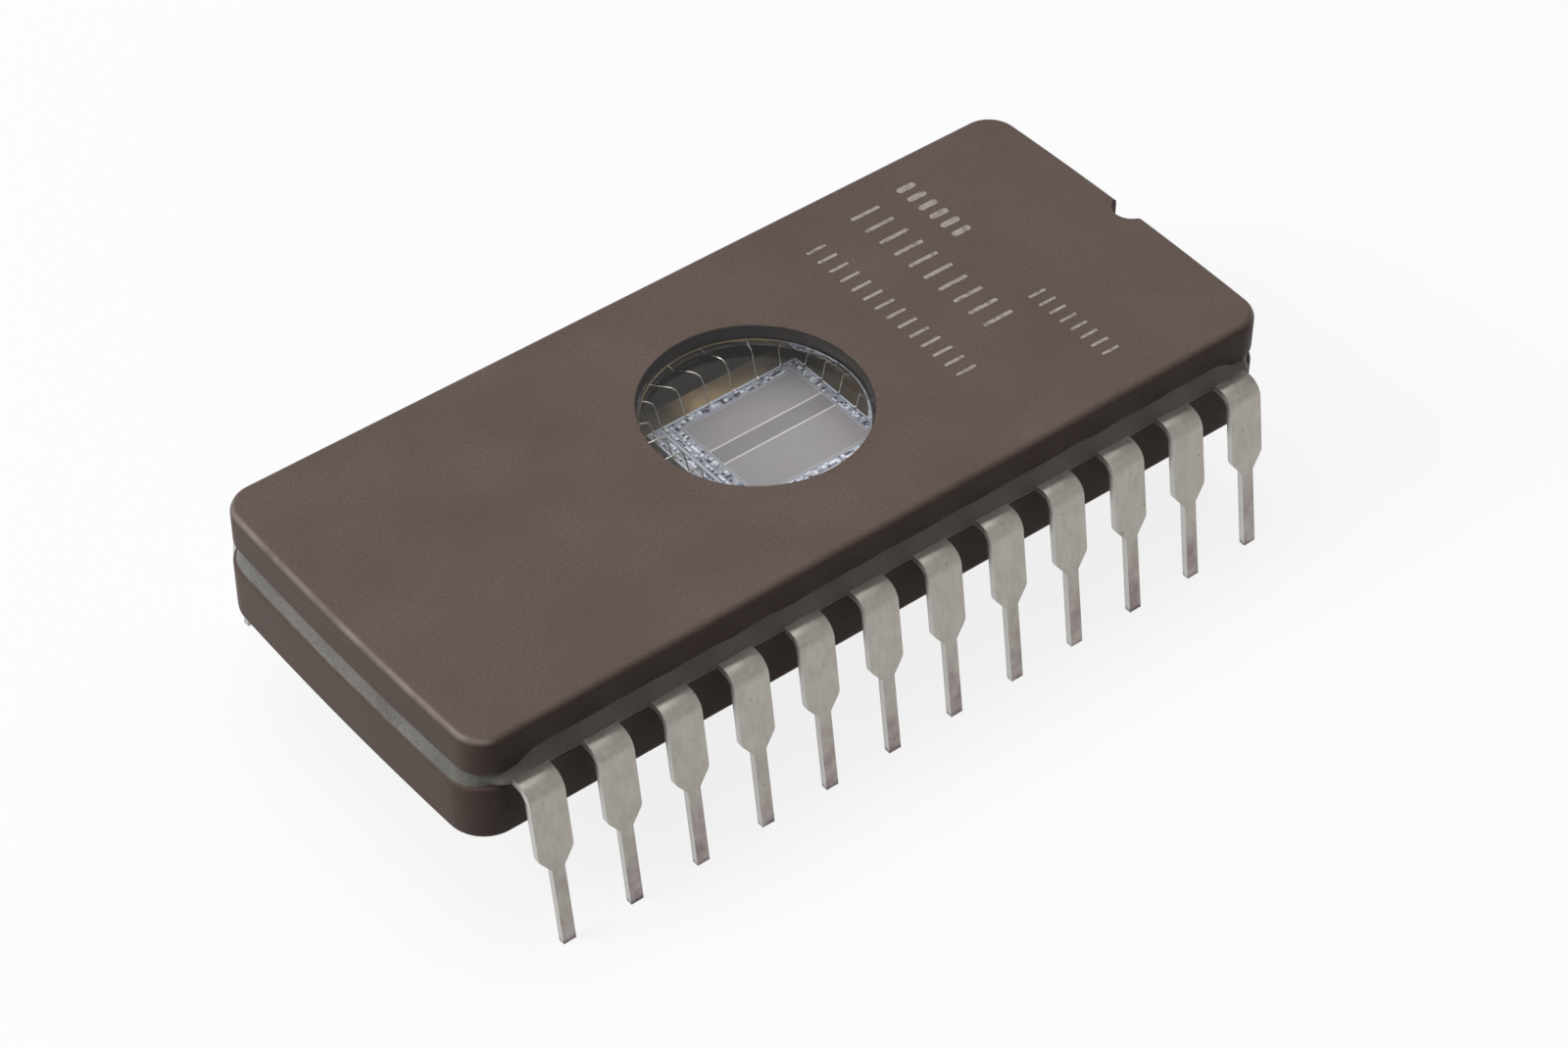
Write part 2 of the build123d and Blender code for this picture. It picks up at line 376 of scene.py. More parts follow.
# Painted shade: the paste is painted dark brown towards both ends of the die, and left clear beside
# its middle
lengthwise = add(gold_attach, "SeparateXYZ", {0: place}).outputs["X"]
from_paste_middle = add(gold_attach, "Math", {0: lengthwise, 1: 1.5 / MM}, operation="SUBTRACT")
either_way = add(gold_attach, "Math", {0: from_paste_middle.outputs[0]}, operation="ABSOLUTE")
end_shade = add(
    gold_attach,
    "MapRange",
    {"Value": either_way.outputs[0], 1: 1.3 / MM, 2: 2.35 / MM, 3: 0.0, 4: 0.8},
)
end_shaded = add(
    gold_attach,
    "Mix",
    {0: end_shade.outputs[0], 6: tone.outputs["Color"], 7: colour("#3A2C1C")},
    data_type="RGBA",
)
shader = add(
    gold_attach,
    "BsdfPrincipled",
    {
        "Base Color": end_shaded.outputs[2],
        "Metallic": 0.45,
        "Roughness": 0.5,
        "Normal": relief.outputs[0],
    },
)
add(gold_attach, "OutputMaterial", {"Surface": shader.outputs[0]})
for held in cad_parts["die_pad"].material_slots:
    held.material = gold_attach


# Die. A sawn block of silicon with its circuit etched and metallised on top: two grey arrays of
# memory cells, a strip between them, and a ring of logic and pads round them.
low, high = corners("die")
die_top = high.z
ARRAY_LOW = Vector((-1.20, -1.75, 0))  # the corners of the memory cells' field
ARRAY_HIGH = Vector((3.35, 2.22, 0))
RING_RUN = 1.2  # the lines round the arrays are laid out over this much
STREET = 0.06  # left bare by the saw along the die's edges
CIRCUIT_STEP = 0.01  # from the street up to the circuit

etched_silicon = new_material("etched_silicon")
place = add(
    etched_silicon,
    "Mapping",
    {"Vector": add(etched_silicon, "TexCoord").outputs["Object"], "Scale": (MM, MM, MM)},
).outputs[0]
across = add(etched_silicon, "SeparateXYZ", {0: place})


def reach_past(axis, start, stop):
    """How far a point lies outside a band of the die, in millimetres, and negative inside it."""
    offset = add(
        etched_silicon, "Math", {0: axis, 1: (start + stop) / 2}, operation="SUBTRACT"
    ).outputs[0]
    size = add(etched_silicon, "Math", {0: offset}, operation="ABSOLUTE").outputs[0]
    half = (stop - start) / 2
    return add(etched_silicon, "Math", {0: size, 1: half}, operation="SUBTRACT").outputs[0]


def logic_blocks(pitch, stops):
    """Blocks of logic of one pitch, each with its own tone."""
    cell = add(etched_silicon, "VectorMath", {0: place, 1: pitch}, operation="SNAP").outputs[0]
    dice = add(etched_silicon, "TexWhiteNoise", {"Vector": cell}, noise_dimensions="3D")
    ramp = add(etched_silicon, "ValToRGB", {"Fac": dice.outputs["Value"]}, stops)
    ramp.color_ramp.interpolation = "CONSTANT"
    return ramp.outputs["Color"]


past_array = add(
    etched_silicon,
    "Math",
    {
        0: reach_past(across.outputs["X"], ARRAY_LOW.x, ARRAY_HIGH.x),
        1: reach_past(across.outputs["Y"], ARRAY_LOW.y, ARRAY_HIGH.y),
    },
    operation="MAXIMUM",
).outputs[0]

# Across the die: lower array, bright bus, decoder strip, bright bus, upper array
share_across = add(etched_silicon, "MapRange", {"Value": across.outputs["Y"], 1: -2.0, 2: 3.0})
bands = add(
    etched_silicon,
    "ValToRGB",
    {"Fac": share_across.outputs[0]},
    [
        (0.000, colour("#787678")),
        (0.408, colour("#AFADAE")),
        (0.421, colour("#6A696B")),
        (0.556, colour("#AFADAE")),
        (0.569, colour("#777577")),
    ],
)
bands.color_ramp.interpolation = "CONSTANT"
rows = add(
    etched_silicon,
    "TexBrick",
    {
        "Vector": place,
        "Color1": grey(1.0),
        "Color2": grey(0.98),
        "Mortar": grey(0.955),
        "Scale": 1.0,
        "Mortar Size": 0.03,
        "Brick Width": 0.9,
        "Row Height": 0.3,
    },
)
cells = add(
    etched_silicon,
    "Mix",
    {0: 1.0, 6: bands.outputs["Color"], 7: rows.outputs["Color"]},
    data_type="RGBA",
    blend_type="MULTIPLY",
)
# Thin oxide gives a faint violet tint that drifts over several millimetres
drift = add(etched_silicon, "TexNoise", {"Vector": place, "Scale": 0.35, "Detail": 1})
tint = add(
    etched_silicon,
    "ValToRGB",
    {"Fac": drift.outputs["Fac"]},
    [(0.35, (1.0, 0.93, 0.97, 1)), (0.6, (0.98, 1.0, 1.0, 1))],
)
tinted = add(
    etched_silicon,
    "Mix",
    {0: 1.0, 6: cells.outputs[2], 7: tint.outputs["Color"]},
    data_type="RGBA",
    blend_type="MULTIPLY",
)
# Pads and blocks of the ring are drawn three times their real size, so that they show
blocks = logic_blocks(
    (0.13, 0.10, 1.0),
    [
        (0.00, colour("#1B2036")),
        (0.17, colour("#6E7280")),
        (0.42, colour("#8D919C")),
        (0.76, colour("#C0C4CE")),
    ],
)
gates = logic_blocks((0.055, 0.045, 1.0), [(0.0, grey(0.7)), (0.3, grey(1.0)), (0.8, grey(1.25))])
logic = add(
    etched_silicon,
    "Mix",
    {0: 1.0, 6: blocks, 7: gates},
    data_type="RGBA",
    blend_type="MULTIPLY",
)
# Metal lines run round the arrays: a tone at each distance from them, clear between the lines
share_out = add(etched_silicon, "Math", {0: past_array, 1: 1 / RING_RUN}, operation="MULTIPLY")
lines = add(
    etched_silicon,
    "ValToRGB",
    {"Fac": share_out.outputs[0]},
    [
        (0.00 / RING_RUN, colour("#9C9EA6")),
        (0.03 / RING_RUN, colour("#2F3342")),
        (0.06 / RING_RUN, colour("#8F919A")),
        (0.10 / RING_RUN, (0, 0, 0, 0)),
        (0.34 / RING_RUN, colour("#30354A")),
        (0.37 / RING_RUN, colour("#A3A7B2")),
        (0.41 / RING_RUN, (0, 0, 0, 0)),
        (0.52 / RING_RUN, colour("#3A3E50")),
        (0.55 / RING_RUN, colour("#9A9EA9")),
        (0.66 / RING_RUN, colour("#41465A")),
        (0.69 / RING_RUN, (0, 0, 0, 0)),
        (0.84 / RING_RUN, colour("#30354A")),
        (0.87 / RING_RUN, colour("#A3A7B2")),
        (0.92 / RING_RUN, (0, 0, 0, 0)),
    ],
)
lines.color_ramp.interpolation = "CONSTANT"
ring = add(
    etched_silicon,
    "Mix",
    {0: lines.outputs["Alpha"], 6: logic.outputs[2], 7: lines.outputs["Color"]},
    data_type="RGBA",
)
outside = add(etched_silicon, "Math", {0: past_array, 1: 0.0}, operation="GREATER_THAN")
circuit = add(
    etched_silicon,
    "Mix",
    {0: outside.outputs[0], 6: tinted.outputs[2], 7: ring.outputs[2]},
    data_type="RGBA",
)
# Bare silicon is left in the street where the saw ran, and it catches the light
past_street = add(
    etched_silicon,
    "Math",
    {
        0: reach_past(across.outputs["X"], low.x + STREET, high.x - STREET),
        1: reach_past(across.outputs["Y"], low.y + STREET, high.y - STREET),
    },
    operation="MAXIMUM",
).outputs[0]
street = add(etched_silicon, "Math", {0: past_street, 1: 0.0}, operation="GREATER_THAN")
pattern = add(
    etched_silicon,
    "Mix",
    {0: street.outputs[0], 6: circuit.outputs[2], 7: colour("#B9BEC9")},
    data_type="RGBA",
)
shader = add(
    etched_silicon,
    "BsdfPrincipled",
    {
        "Base Color": pattern.outputs[2],
        "Metallic": 0.0,
        "Roughness": 0.40,
        "Specular IOR Level": 0.40,
    },
)
add(etched_silicon, "OutputMaterial", {"Surface": shader.outputs[0]})

die = box_blank("silicon_die", low, high)
pick("FACE", lambda middle, normal: normal.z > 0.9)
bpy.ops.mesh.inset(thickness=STREET)
bpy.ops.mesh.inset(thickness=CIRCUIT_STEP)
bpy.ops.transform.translate(value=(0, 0, CIRCUIT_STEP))
bpy.ops.object.mode_set(mode="OBJECT")
# The raised circuit comes down to the die's own top, and the sawn street round it lies lower
for point in die.data.vertices:
    if point.co.z > die_top - 0.1:
        point.co.z -= CIRCUIT_STEP
apply_modifier(die, "BEVEL", width=0.012, segments=2, limit_method="ANGLE", angle_limit=0.9)
finish(die, etched_silicon)
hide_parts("die")


# Leads. They are stamped from one strip of iron-nickel, dipped in tin and bent down: satin grey,
# with sheared edges, rolled streaks along them, and specks and flux stains towards the tips.
plated_tin = new_material("dull_tin_plate")
place = add(plated_tin, "TexCoord").outputs["Object"]
axes = add(plated_tin, "SeparateXYZ", {0: place})
along_leg = add(plated_tin, "Mapping", {"Vector": place, "Scale": (5200, 3800, 1600)})
streaks = add(plated_tin, "TexNoise", {"Vector": along_leg.outputs[0], "Scale": 1.0, "Detail": 4})
metal = add(
    plated_tin,
    "ValToRGB",
    {"Fac": streaks.outputs["Fac"]},
    [(0.25, colour("#A6A199")), (0.50, colour("#ADA8A0")), (0.75, colour("#B4B0A8"))],
)
blots = add(
    plated_tin, "TexNoise", {"Vector": place, "Scale": 1100, "Detail": 4, "Roughness": 0.65}
)
near_tip = add(
    plated_tin, "MapRange", {"Value": axes.outputs["Z"], 1: 3.4 / MM, 2: 0.6 / MM, 3: 0.0, 4: 1.0}
)
stain_spread = add(
    plated_tin, "MapRange", {"Value": blots.outputs["Fac"], 1: 0.38, 2: 0.64, 3: 0.25, 4: 1.0}
)
stain_and_shade_mix = add(
    plated_tin, "Math", {0: near_tip.outputs[0], 1: stain_spread.outputs[0]}, operation="MULTIPLY"
)
residue = add(
    plated_tin,
    "Mix",
    {0: stain_and_shade_mix.outputs[0], 6: metal.outputs["Color"], 7: colour("#8A7A7C")},
    data_type="RGBA",
)
flecks = add(plated_tin, "TexNoise", {"Vector": place, "Scale": 4200, "Detail": 1})
speck = add(
    plated_tin,
    "ValToRGB",
    {"Fac": flecks.outputs["Fac"]},
    [(0.735, grey(0)), (0.79, grey(0.6))],
)
speckled = add(
    plated_tin,
    "Mix",
    {0: speck.outputs["Color"], 6: residue.outputs[2], 7: colour("#6A6360")},
    data_type="RGBA",
)
# Painted highlight: the strip's edge faces, turned along the package, are painted brighter than its
# broad faces
facing = add(plated_tin, "SeparateXYZ", {0: add(plated_tin, "TexCoord").outputs["Normal"]})
sideways = add(plated_tin, "Math", {0: facing.outputs["X"]}, operation="ABSOLUTE")
edge_highlight = add(
    plated_tin, "MapRange", {"Value": sideways.outputs[0], 1: 0.75, 2: 0.95, 3: 0.0, 4: 1.0}
)
edge_highlighted = add(
    plated_tin,
    "Mix",
    {0: edge_highlight.outputs[0], 6: speckled.outputs[2], 7: colour("#C8C7C3")},
    data_type="RGBA",
)
# The tips are sheared after plating, which leaves a dark bare end
bare_tip = add(
    plated_tin,
    "MapRange",
    {"Value": axes.outputs["Z"], 1: 0.20 / MM, 2: 0.08 / MM, 3: 0.0, 4: 0.75},
)
bare_patch = add(
    plated_tin, "Math", {0: bare_tip.outputs[0], 1: stain_spread.outputs[0]}, operation="MULTIPLY"
)
tipped = add(
    plated_tin,
    "Mix",
    {0: bare_patch.outputs[0], 6: edge_highlighted.outputs[2], 7: colour("#4C4450")},
    data_type="RGBA",
)
# Painted shade: the lead is painted darker from the upper bend over the shoulder, which dims the
# bend's highlight
bend_shade = add(
    plated_tin, "MapRange", {"Value": axes.outputs["Z"], 1: 5.92 / MM, 2: 6.08 / MM, 3: 0.0, 4: 1.0}
)
bend_shaded = add(
    plated_tin,
    "Mix",
    {0: bend_shade.outputs[0], 6: tipped.outputs[2], 7: grey(0.66)},
    data_type="RGBA",
    blend_type="MULTIPLY",
)
# Inside the package the strip isn't plated: its brown oxide is painted dark as shade in the well,
# with painted glints here and there
glint_flecks = add(plated_tin, "TexNoise", {"Vector": place, "Scale": 3600, "Detail": 2})
oxide_dark_and_glints = add(
    plated_tin,
    "ValToRGB",
    {"Fac": glint_flecks.outputs["Fac"]},
    [(0.40, colour("#4A3F39")), (0.56, colour("#6A5C51")), (0.66, colour("#B5AB9D"))],
)
lead_skin = add(
    plated_tin,
    "Mix",
    {0: well_shade_mask(plated_tin, place), 6: bend_shaded.outputs[2], 7: oxide_dark_and_glints.outputs["Color"]},
    data_type="RGBA",
)
sheen = add(
    plated_tin, "MapRange", {"Value": blots.outputs["Fac"], 1: 0.3, 2: 0.7, 3: 0.42, 4: 0.54}
)
relief = add(
    plated_tin, "Bump", {"Strength": 0.12, "Distance": 0.01 / MM, "Height": streaks.outputs["Fac"]}
)
shader = add(
    plated_tin,
    "BsdfPrincipled",
    {
        "Base Color": lead_skin.outputs[2],
        "Metallic": 1.0,
        "Roughness": sheen.outputs[0],
        "Normal": relief.outputs[0],
    },
)
add(plated_tin, "OutputMaterial", {"Surface": shader.outputs[0]})

LEAD_COUNT = 24
lead_top = corners("lead_01")[1].z
for number in range(1, LEAD_COUNT + 1):
    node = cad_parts[f"lead_{number:02d}"]
    lead = bpy.data.objects.new(f"plated_lead_{number:02d}", node.data.copy())
    bpy.context.scene.collection.objects.link(lead)
    lead.data.transform(Matrix.Scale(MM, 4))
    bpy.ops.object.select_all(action="DESELECT")
    bpy.context.view_layer.objects.active = lead
    lead.select_set(True)
    # The solid's loose triangles are joined into flat faces, so that its sharp edges can be rounded
    bpy.ops.mesh.customdata_custom_splitnormals_clear()
    bpy.ops.object.mode_set(mode="EDIT")
    bpy.ops.mesh.select_all(action="SELECT")
    bpy.ops.mesh.remove_doubles(threshold=0.0005)
    bpy.ops.mesh.dissolve_limited(angle_limit=math.radians(1))
    bpy.ops.object.mode_set(mode="OBJECT")
    apply_modifier(lead, "BEVEL", width=0.022, segments=2, limit_method="ANGLE", angle_limit=0.6)
    finish(lead, plated_tin)
    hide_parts(node.name)


# Bond wires. Fine aluminium wire is pressed down by a wedge on the die and on a finger, with a
# smooth loop between: bright, drawn metal, flattened into a small foot at each end.
bonded_aluminium = new_material("drawn_aluminium_wire")
place = add(bonded_aluminium, "TexCoord").outputs["Object"]
draw_marks = add(bonded_aluminium, "TexNoise", {"Vector": place, "Scale": 15000, "Detail": 2})
tone = add(
    bonded_aluminium,
    "ValToRGB",
    {"Fac": draw_marks.outputs["Fac"]},
    [(0.3, colour("#B4B0A7")), (0.7, colour("#CCC8C0"))],
)
shader = add(
    bonded_aluminium,
    "BsdfPrincipled",
    {"Base Color": tone.outputs["Color"], "Metallic": 1.0, "Roughness": 0.2},
)
add(bonded_aluminium, "OutputMaterial", {"Surface": shader.outputs[0]})

WIRE_RADIUS = 0.028  # about twice the real one's, so that it shows
FOOT_SIZE = Vector((0.12, 0.068, 0.036))
FOOT_ROUND = 0.014
for number in range(1, LEAD_COUNT + 1):
    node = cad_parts[f"bond_wire_{number:02d}"]
    points = [point.co * MM for point in node.data.vertices]
    on_die = [point for point in points if abs(point.z - die_top) < 0.001]
    on_finger = [point for point in points if abs(point.z - lead_top) < 0.001]
    start = sum(on_die, Vector()) / len(on_die)
    stop = sum(on_finger, Vector()) / len(on_finger)
    start.z = stop.z = 0
    along = (stop - start).normalized()
    span = (stop - start).length
    # Distances along the wire with levels: up from the die, over the cavity, down on the finger
    route = [
        (-0.05, die_top + 0.020),
        (0.03, die_top + 0.022),
        (0.13, die_top + 0.10),
        (0.30, lead_top),
        (0.48, lead_top + 0.145),
        (0.48 + (span - 0.48) * 0.35, lead_top + 0.15),
        (span - 0.16, lead_top + 0.055),
        (span - 0.03, lead_top + 0.022),
        (span + 0.05, lead_top + 0.020),
    ]
    line = bpy.data.curves.new(f"wire_line_{number:02d}", "CURVE")
    line.dimensions = "3D"
    line.bevel_depth = WIRE_RADIUS
    line.bevel_resolution = 2
    line.resolution_u = 6
    line.use_fill_caps = True
    spline = line.splines.new("NURBS")
    spline.points.add(len(route) - 1)
    for point, (run, level) in zip(spline.points, route):
        point.co = (*(start + along * run).xy, level, 1)
    spline.order_u = 3
    spline.use_endpoint_u = True
    wire = bpy.data.objects.new(f"aluminium_wire_{number:02d}", line)
    bpy.context.scene.collection.objects.link(wire)
    bpy.ops.object.select_all(action="DESELECT")
    feet = []
    for end, level in ((start, die_top), (stop, lead_top)):
        # A wedge foot: a block with its rim pressed round
        bpy.ops.mesh.primitive_cube_add(
            size=1,
            location=(*end.xy, level + FOOT_SIZE.z / 2),
            scale=FOOT_SIZE,
            rotation=(0, 0, math.atan2(along.y, along.x)),
        )
        bpy.ops.object.transform_apply()
        foot = bpy.context.object
        apply_modifier(foot, "BEVEL", width=FOOT_ROUND, segments=2)
        feet.append(foot)
    bpy.ops.object.select_all(action="DESELECT")
    wire.select_set(True)
    bpy.context.view_layer.objects.active = wire
    bpy.ops.object.convert(target="MESH")
    for foot in feet:
        foot.select_set(True)
    bpy.ops.object.join()
    finish(wire, bonded_aluminium, 60)
    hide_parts(node.name)


# Sealing glass. Grey lead-borate glass is printed on both halves and melted, which joins them and
# holds the leads. Along the rows it stands out over the leads' shoulders and climbs the cap's side.
LEAD_PITCH = 2.54
seal_frit = new_material("fired_seal_glass")
place = add(seal_frit, "TexCoord").outputs["Object"]
haze = add(seal_frit, "TexNoise", {"Vector": place, "Scale": 700, "Detail": 4})
tone = add(
    seal_frit,
    "ValToRGB",
    {"Fac": haze.outputs["Fac"]},
    [(0.32, colour("#797771")), (0.68, colour("#908E88"))],
)
dust = add(seal_frit, "TexNoise", {"Vector": place, "Scale": 8000, "Detail": 2})
dust_tone = add(
    seal_frit,
    "ValToRGB",
    {"Fac": dust.outputs["Fac"]},
    [(0.30, grey(0.82)), (0.70, grey(1.12))],
)
mottled = add(
    seal_frit,
    "Mix",
    {0: 1.0, 6: tone.outputs["Color"], 7: dust_tone.outputs["Color"]},
    data_type="RGBA",
    blend_type="MULTIPLY",
)
# Painted shade: the glass that faces along the rows of leads is painted darker and browner, and in
# the well it is painted darker still
turned = add(seal_frit, "SeparateXYZ", {0: add(seal_frit, "TexCoord").outputs["Normal"]})
endwise = add(seal_frit, "Math", {0: turned.outputs["X"]}, operation="ABSOLUTE")
side_shade = add(
    seal_frit, "MapRange", {"Value": endwise.outputs[0], 1: 0.75, 2: 0.30, 3: 0.0, 4: 0.75}
)
# The leads stand at odd multiples of half the pitch; the painted shade is lighter beside them and
# darkest between them
lengthwise = add(seal_frit, "SeparateXYZ", {0: place}).outputs["X"]
from_gap = add(
    seal_frit, "Math", {0: lengthwise, 1: LEAD_PITCH / 2 / MM}, operation="PINGPONG"
)
beside_lead = add(
    seal_frit, "MapRange", {"Value": from_gap.outputs[0], 1: 0.3 / MM, 2: 0.9 / MM, 3: 0.0, 4: 1.0}
)
brown = add(
    seal_frit,
    "Mix",
    {0: beside_lead.outputs[0], 6: colour("#685C53"), 7: colour("#7F776F")},
    data_type="RGBA",
)
stain_and_shade_mix = add(
    seal_frit,
    "Mix",
    {0: side_shade.outputs[0], 6: mottled.outputs[2], 7: brown.outputs[2]},
    data_type="RGBA",
)
# Painted shade: the glass in the well is painted near black
frit_skin = add(
    seal_frit,
    "Mix",
    {0: well_shade_mask(seal_frit, place), 6: stain_and_shade_mix.outputs[2], 7: colour("#282120")},
    data_type="RGBA",
)
relief = add(
    seal_frit, "Bump", {"Strength": 0.3, "Distance": 0.03 / MM, "Height": haze.outputs["Fac"]}
)
shader = add(
    seal_frit,
    "BsdfPrincipled",
    {
        "Base Color": frit_skin.outputs[2],
        "Roughness": 0.42,
        "Specular IOR Level": 0.35,
        "Normal": relief.outputs[0],
    },
)
add(seal_frit, "OutputMaterial", {"Surface": shader.outputs[0]})

LEAD_THICKNESS = 0.25
GLASS_CORNER = 1.20
GLASS_ROWS = 22  # of faces up the wall
LEDGE_REACH = 0.33  # how far the ledge stands out over the leads' shoulders
LEDGE_TOP = 0.10  # how far out it still is at its top, against the cap's side
LEDGE_CREST = 0.55  # where it stands out most, as a share of the wall's height
CLIMB = 0.44  # how far the glass creeps up the cap's side
CLIMB_END = 14.3  # just past the last lead's middle, where it no longer climbs
cap_low, cap_high = corners("cap")
glass_low, glass_high = corners("seal_glass")
glass_height = glass_high.z - glass_low.z
# Half the size of the wall at the base's rim, and how much shorter it is at the cap
joint = Vector((*corners("base")[1].xy, 0)) - crown - Vector((BASE_TOP_ROUND, BASE_TOP_ROUND, 0))
setback = corners("base")[1].x - cap_high.x
bpy.ops.object.select_all(action="DESELECT")
bpy.ops.mesh.primitive_plane_add(size=1, location=(0, 0, glass_low.z))
bpy.ops.object.transform_apply()
glass = bpy.context.object
glass.name = glass.data.name = "glass_seal"
bpy.ops.object.mode_set(mode="EDIT")
bpy.ops.mesh.select_all(action="SELECT")
bpy.ops.transform.resize(value=(2 * joint.x, 2 * joint.y, 1))
bpy.ops.mesh.bevel(offset=GLASS_CORNER, segments=12, affect="VERTICES")
pick("EDGE", lambda middle, line: abs(line.x) > 0.99 and abs(middle.x) < 1)
bpy.ops.mesh.subdivide(number_cuts=300)
pick("EDGE", lambda middle, line: abs(line.y) > 0.99 and abs(middle.y) < 1)
bpy.ops.mesh.subdivide(number_cuts=60)
bpy.ops.mesh.select_mode(type="FACE")
bpy.ops.mesh.select_all(action="SELECT")
for row in range(GLASS_ROWS):
    bpy.ops.mesh.extrude_region_move(
        TRANSFORM_OT_translate={"value": (0, 0, glass_height / GLASS_ROWS)}
    )
bpy.ops.object.mode_set(mode="OBJECT")
lead_places = [(column + 0.5 - LEAD_COUNT / 4) * LEAD_PITCH for column in range(LEAD_COUNT // 2)]
for point in glass.data.vertices:
    core = Vector(
        (
            max(-joint.x + GLASS_CORNER, min(joint.x - GLASS_CORNER, point.co.x)),
            max(-joint.y + GLASS_CORNER, min(joint.y - GLASS_CORNER, point.co.y)),
            point.co.z,
        )
    )
    outward = (point.co - core).normalized()
    rise = (point.co.z - glass_low.z) / glass_height
    # At the ends the wall leans in to the shorter cap, and its foot runs out over the base's rim
    end_share = abs(outward.x) ** 2
    move = end_share * (0.10 * (1 - rise) ** 2 - setback * rise)
    climb = 0.0
    # Along the rows it stands out as a ledge that buries the shoulders, and climbs the cap's side
    if abs(outward.y) > 0.90:
        nearest = min(abs(point.co.x - x) for x in lead_places)
        hold = 1 - min(1, max(0, (nearest - 0.45) / 0.62))  # 1 over a lead, 0 between two
        hold = hold * hold * (3 - 2 * hold)
        fade = min(1, (abs(outward.y) - 0.90) / 0.09)  # round the corners
        along_row = min(1, max(0, (CLIMB_END - abs(point.co.x)) / 0.5))
        uneven = noise.noise(Vector((point.co.x * 0.9, outward.y * 5, 3)))
        reach_out = LEDGE_REACH + 0.05 * hold + 0.05 * uneven
        crest = LEDGE_CREST + 0.08 * hold
        if rise > crest:
            slope = (rise - crest) / (1 - crest)
            ledge = reach_out + (LEDGE_TOP - reach_out) * slope
        else:
            slope = rise / crest
            ledge = reach_out * slope * slope * (3 - 2 * slope)
        move += fade * ledge
        climb = CLIMB - 0.04 * hold + 0.06 * uneven
        climb *= along_row * max(0, rise - crest) / (1 - crest)
    move += 0.014 * noise.noise(point.co * 2.2)
    point.co.z += climb
    # Its ends are crowned like those of the halves that it joins
    if abs(point.co.x) > joint.x - 1.3:
        point.co.x += math.copysign(CROWN * (1 - (point.co.y / joint.y) ** 2), point.co.x)
    point.co += outward * move
opening = box_blank(
    "opening",
    Vector((-CAVITY_HALF.x, -CAVITY_HALF.y, glass_low.z - 1)),
    Vector((CAVITY_HALF.x, CAVITY_HALF.y, glass_high.z + 1)),
)
round_upright_edges(WELL_CORNER, 8)
cut(glass, opening)
# Round the well the glass ends under the leads, so that their fingers lie bare on it
recess = box_blank(
    "recess",
    Vector((-RECESS_HALF.x, -RECESS_HALF.y, lead_top - LEAD_THICKNESS)),
    Vector((RECESS_HALF.x, RECESS_HALF.y, glass_high.z + 1)),
)
round_upright_edges(WELL_CORNER, 8)
cut(glass, recess)
cut(glass, notch_cutter())
finish(glass, seal_frit, 50)
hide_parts("seal_glass")


# Cap. The upper half is pressed from the same dark alumina, a little smaller than the base, with
# rounded rims, the window's hole, a recess underneath that clears the wires, and the notch.
PRINT_RELIEF = 0.008  # the ink stands this far above the ceramic, inside the part's own height
CAP_CORNER = 1.05
CAP_RIM_ROUND = 0.25
WINDOW_RADIUS = 3.81
cap_face = cap_high.z - PRINT_RELIEF
ceiling = cap_low.z + 0.55  # of the recess
cap = box_blank("ceramic_cap", cap_low + crown, cap_high - crown - Vector((0, 0, PRINT_RELIEF)))
round_upright_edges(CAP_CORNER)
round_rim(cap_face, CAP_RIM_ROUND)
round_rim(cap_low.z, CAP_RIM_ROUND)
crown_ends(cap_high.x - CROWN, cap_high.y)
recess = box_blank(
    "recess",
    Vector((-RECESS_HALF.x, -RECESS_HALF.y, 3)),
    Vector((RECESS_HALF.x, RECESS_HALF.y, ceiling)),
)
round_upright_edges(WELL_CORNER, 8)
round_rim(ceiling, WELL_ROUND, 3)
cut(cap, recess)
bpy.ops.mesh.primitive_cylinder_add(
    vertices=160, radius=WINDOW_RADIUS, depth=20, location=(0, 0, 5)
)
cut(cap, bpy.context.object)
cut(cap, notch_cutter())
apply_modifier(cap, "BEVEL", width=0.04, segments=2, limit_method="ANGLE", angle_limit=0.7)
finish(cap, dark_alumina)
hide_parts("cap")


# Window. A disc of ultraviolet glass is melted into the cap's hole and ground flush with its top;
# underneath it keeps the soft bulge of the melt, which bends the view near its rim.
window_glass = new_material("ultraviolet_window_glass")
place = add(window_glass, "TexCoord").outputs["Object"]
smears = add(window_glass, "TexNoise", {"Vector": place, "Scale": 500, "Detail": 4})
polish = add(
    window_glass, "MapRange", {"Value": smears.outputs["Fac"], 1: 0.4, 2: 0.8, 3: 0.0, 4: 0.01}
)
shader = add(
    window_glass,
    "BsdfPrincipled",
    {
        "Base Color": colour("#FCFCFA"),
        "Roughness": polish.outputs[0],
        "IOR": 1.48,
        "Specular Tint": grey(0.45),
        "Transmission Weight": 1.0,
    },
)
add(window_glass, "OutputMaterial", {"Surface": shader.outputs[0]})

LENS_RADIUS = WINDOW_RADIUS + 0.01  # its side is fused a hair's breadth into the ceramic
FLAT_RADIUS = 3.55  # of the flat middle of the underside
lens_low, lens_high = corners("window_lens")
lens_face = lens_high.z - PRINT_RELIEF
bpy.ops.object.select_all(action="DESELECT")
bpy.ops.mesh.primitive_circle_add(
    vertices=160, radius=LENS_RADIUS, fill_type="NGON", location=(0, 0, lens_face)
)
bpy.ops.object.transform_apply()
lens = bpy.context.object
lens.name = lens.data.name = "window_disc"
bpy.ops.object.mode_set(mode="EDIT")
bpy.ops.mesh.select_mode(type="FACE")
bpy.ops.mesh.select_all(action="SELECT")
bpy.ops.mesh.extrude_region_move(TRANSFORM_OT_translate={"value": (0, 0, ceiling - lens_face)})
